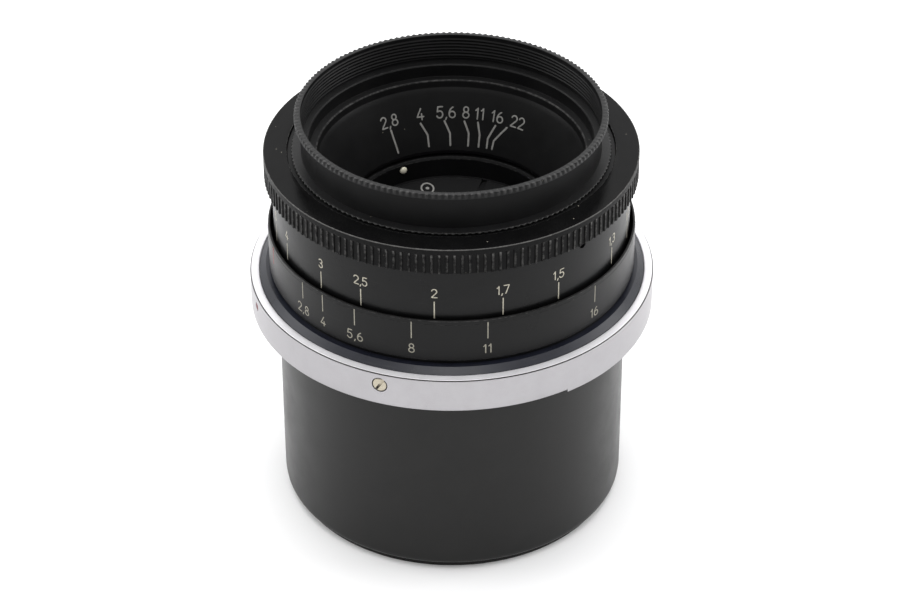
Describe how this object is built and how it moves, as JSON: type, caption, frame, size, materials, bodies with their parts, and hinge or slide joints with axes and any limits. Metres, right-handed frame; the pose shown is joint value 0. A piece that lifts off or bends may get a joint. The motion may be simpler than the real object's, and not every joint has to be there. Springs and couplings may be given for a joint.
{
  "type": "rangefinder camera wide-angle lens",
  "caption": "Black and chrome wide-angle camera lens with focus and depth-of-field scales, a bowl-shaped aperture ring and a deep rear cap.",
  "frame": {"origin": "centre of the rear cap's foot, on the optical axis", "axes": "+Z along the optical axis towards the subject; -Y faces the red alignment dot and the depth-of-field index"},
  "size_m": [0.056, 0.056, 0.0602],
  "materials": {
    "black_anodised": "matte black anodised",
    "black_satin": "satin black",
    "satin_chrome": "satin",
    "bright_metal": "bright",
    "screw_nickel": "satin",
    "red_enamel": "enamel",
    "cream_enamel": "enamel",
    "brass": "turned",
    "aluminium_plain": "turned",
    "spring_steel": "blued",
    "blade_steel": "blackened",
    "optical_glass": "coated",
    "cap_black": "satin moulded"
  },
  "bodies": {
    "barrel": {"bayonet_ring": "satin_chrome", "collar_ring": "bright_metal", "helicoid_housing": "black_anodised", "dof_scale_ring": "black_anodised", "mount_screws": "screw_nickel", "red_index_dot": "red_enamel", "sleeve_retaining_ring": "brass", "focus_stop_screw": "spring_steel", "catch_pin": "spring_steel", "catch_spring": "spring_steel"},
    "coupler": {"coupling_sleeve": "brass", "drive_keys": "spring_steel", "key_screws": "spring_steel"},
    "head": {"head_barrel": "aluminium_plain", "focus_ring": "black_anodised", "focus_set_screws": "spring_steel", "optical_barrel": "black_satin", "barrel_lock_ring": "black_satin", "front_cell": "black_satin", "front_spacer": "black_satin", "name_ring": "black_satin", "index_dot": "cream_enamel", "lens_1": "optical_glass", "lens_2": "optical_glass", "lens_3": "optical_glass", "iris_base": "black_satin", "lens_4": "optical_glass", "lens_5": "optical_glass", "doublet_retainer": "black_satin", "rear_cell": "black_satin", "lens_6": "optical_glass", "rear_retainer": "black_satin"},
    "aperture": {"aperture_ring": "black_anodised", "aperture_sleeve": "black_satin", "iris_cam_ring": "brass", "cam_drive_screw": "spring_steel"},
    "rear_cap": {"rear_cap": "cap_black"},
    "catch": {"lock_catch": "satin_chrome"},
    "blade_1": {"iris_blade_1": "blade_steel"},
    "blade_2": {"iris_blade_2": "blade_steel"},
    "blade_3": {"iris_blade_3": "blade_steel"},
    "blade_4": {"iris_blade_4": "blade_steel"},
    "blade_5": {"iris_blade_5": "blade_steel"}
  },
  "joints": [
    {"name": "focus_turn", "type": "hinge", "parent": "barrel", "child": "coupler", "pos_m": [0, 0, 0.03], "axis": [0, 0, 1], "range_deg": [-192.8, 48.1]},
    {"name": "focus_rise", "type": "slide", "parent": "coupler", "child": "head", "axis": [0, 0, 1], "range_m": [-0.00028, 0.00109]},
    {"name": "aperture_turn", "type": "hinge", "parent": "head", "child": "aperture", "pos_m": [0, 0, 0.055], "axis": [0, 0, 1], "range_deg": [0, 54.8]},
    {"name": "cap_off", "type": "slide", "parent": "rear_cap", "child": "barrel", "axis": [0, 0, 1], "range_m": [0, 0.03]},
    {"name": "catch_rock", "type": "hinge", "parent": "barrel", "child": "catch", "pos_m": [-0.02019, 0.01755, 0.032], "axis": [0, 0, 1], "range_deg": [-3, 0]},
    {"name": "blade_1_swing", "type": "hinge", "parent": "head", "child": "blade_1", "pos_m": [0, -0.0104, 0.0255], "axis": [0, 0, 1], "range_deg": [-0.2, 27.48]},
    {"name": "blade_2_swing", "type": "hinge", "parent": "head", "child": "blade_2", "pos_m": [0.00989, -0.00321, 0.0255], "axis": [0, 0, 1], "range_deg": [-0.2, 27.48]},
    {"name": "blade_3_swing", "type": "hinge", "parent": "head", "child": "blade_3", "pos_m": [0.00611, 0.00841, 0.0255], "axis": [0, 0, 1], "range_deg": [-0.2, 27.48]},
    {"name": "blade_4_swing", "type": "hinge", "parent": "head", "child": "blade_4", "pos_m": [-0.00611, 0.00841, 0.0255], "axis": [0, 0, 1], "range_deg": [-0.2, 27.48]},
    {"name": "blade_5_swing", "type": "hinge", "parent": "head", "child": "blade_5", "pos_m": [-0.00989, -0.00321, 0.0255], "axis": [0, 0, 1], "range_deg": [-0.2, 27.48]}
  ],
  "couplings": [
    {"joint": "focus_rise", "follows": "focus_turn", "m_per_rad": -0.00031831},
    {"joint": "blade_1_swing", "follows": "aperture_turn", "ratio": 0.49597},
    {"joint": "blade_2_swing", "follows": "aperture_turn", "ratio": 0.49597},
    {"joint": "blade_3_swing", "follows": "aperture_turn", "ratio": 0.49597},
    {"joint": "blade_4_swing", "follows": "aperture_turn", "ratio": 0.49597},
    {"joint": "blade_5_swing", "follows": "aperture_turn", "ratio": 0.49597}
  ]
}
